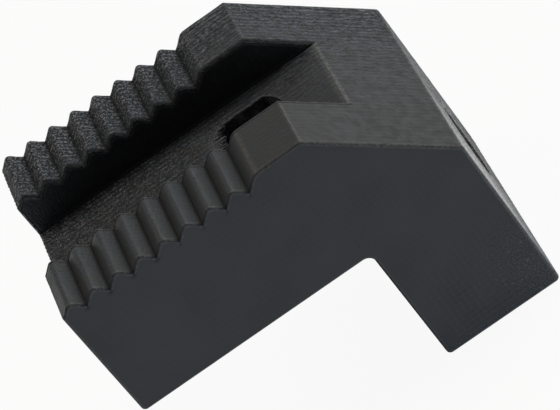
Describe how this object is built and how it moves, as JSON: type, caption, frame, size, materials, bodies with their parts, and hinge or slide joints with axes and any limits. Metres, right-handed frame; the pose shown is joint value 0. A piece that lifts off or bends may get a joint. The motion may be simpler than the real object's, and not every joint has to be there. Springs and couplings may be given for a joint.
{
  "type": "robot gripper finger",
  "caption": "L-shaped finger for a small parallel gripper, with two toothed rails, a relief groove between them, and a recessed screw hole in the arm and in the leg.",
  "frame": {"origin": "where the axis of the leg screw leaves the seat face, which is the front face of the leg", "axes": "+X from the tip of the finger to its back, along the leg screw; +Y across the finger; +Z from the leg to the toothed gripping side"},
  "size_m": [0.03, 0.02, 0.024],
  "materials": {
    "printed_plastic": "matte black, layered and grainy, with the layers stacked across the width"
  },
  "bodies": {
    "root": {"finger": "printed_plastic"}
  },
  "joints": []
}
